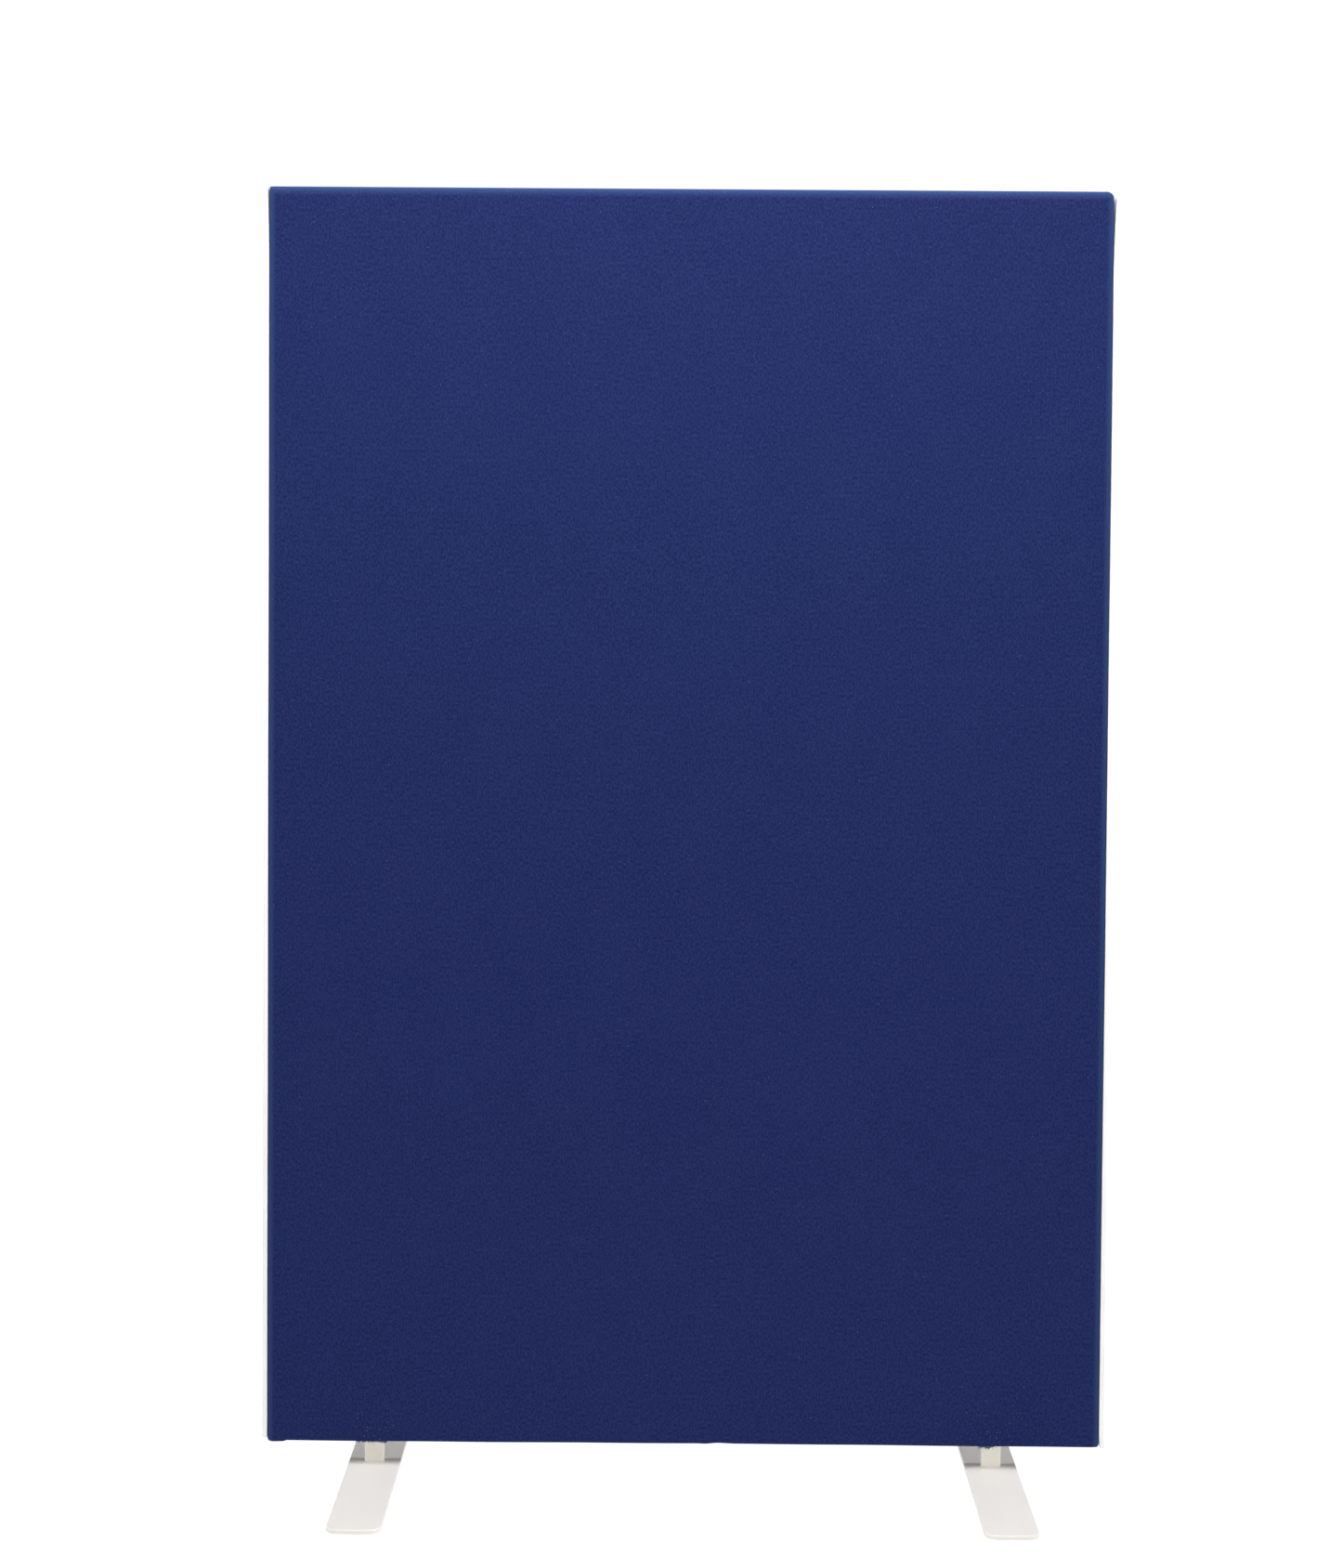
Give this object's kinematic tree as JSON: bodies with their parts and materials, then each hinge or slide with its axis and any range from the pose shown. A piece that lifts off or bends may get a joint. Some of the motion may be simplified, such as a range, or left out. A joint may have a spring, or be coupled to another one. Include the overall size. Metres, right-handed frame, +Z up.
{
  "type": "partition wall",
  "caption": "Free-standing fabric-covered partition panel with plastic linking trims on its upright edges, lifting off two flat steel feet.",
  "frame": {"origin": "on the floor, midway between the two feet, under the middle of the panel's thickness", "axes": "+X along the wall towards the viewer's right, -Y out of the front face, +Z up"},
  "size_m": [1.214, 0.45, 1.842],
  "materials": {
    "timber": "matte",
    "dowel_wood": "matte",
    "hardboard": "satin",
    "core_paper": "matte",
    "cover_fabric": "matte",
    "trim_plastic": "satin",
    "socket_steel": "satin",
    "fastener_steel": "satin",
    "foot_paint": "satin",
    "tongue_paint": "satin"
  },
  "bodies": {
    "left_foot": {"left_foot_plate": "foot_paint", "left_foot_tongue": "tongue_paint", "left_foot_weld": "foot_paint"},
    "panel": {"left_stile": "timber", "right_stile": "timber", "top_rail": "timber", "middle_rail": "timber", "bottom_rail": "timber", "frame_dowels": "dowel_wood", "lower_core": "core_paper", "upper_core": "core_paper", "front_board": "hardboard", "rear_board": "hardboard", "fabric_cover": "cover_fabric", "board_staples": "fastener_steel", "cover_staples": "fastener_steel", "left_trim_screws": "fastener_steel", "right_trim_screws": "fastener_steel", "left_socket_screws": "fastener_steel", "right_socket_screws": "fastener_steel", "left_edge_trim": "trim_plastic", "right_edge_trim": "trim_plastic", "left_socket": "socket_steel", "right_socket": "socket_steel"},
    "right_foot": {"right_foot_plate": "foot_paint", "right_foot_tongue": "tongue_paint", "right_foot_weld": "foot_paint"}
  },
  "joints": [
    {"name": "panel_lift", "type": "slide", "parent": "left_foot", "child": "panel", "axis": [0, 0, 1], "range_m": [0, 0.1]},
    {"name": "right_foot_release", "type": "slide", "parent": "panel", "child": "right_foot", "axis": [0, 0, -1], "range_m": [0, 0.1]}
  ],
  "couplings": [
    {"joint": "right_foot_release", "follows": "panel_lift", "ratio": 1}
  ]
}
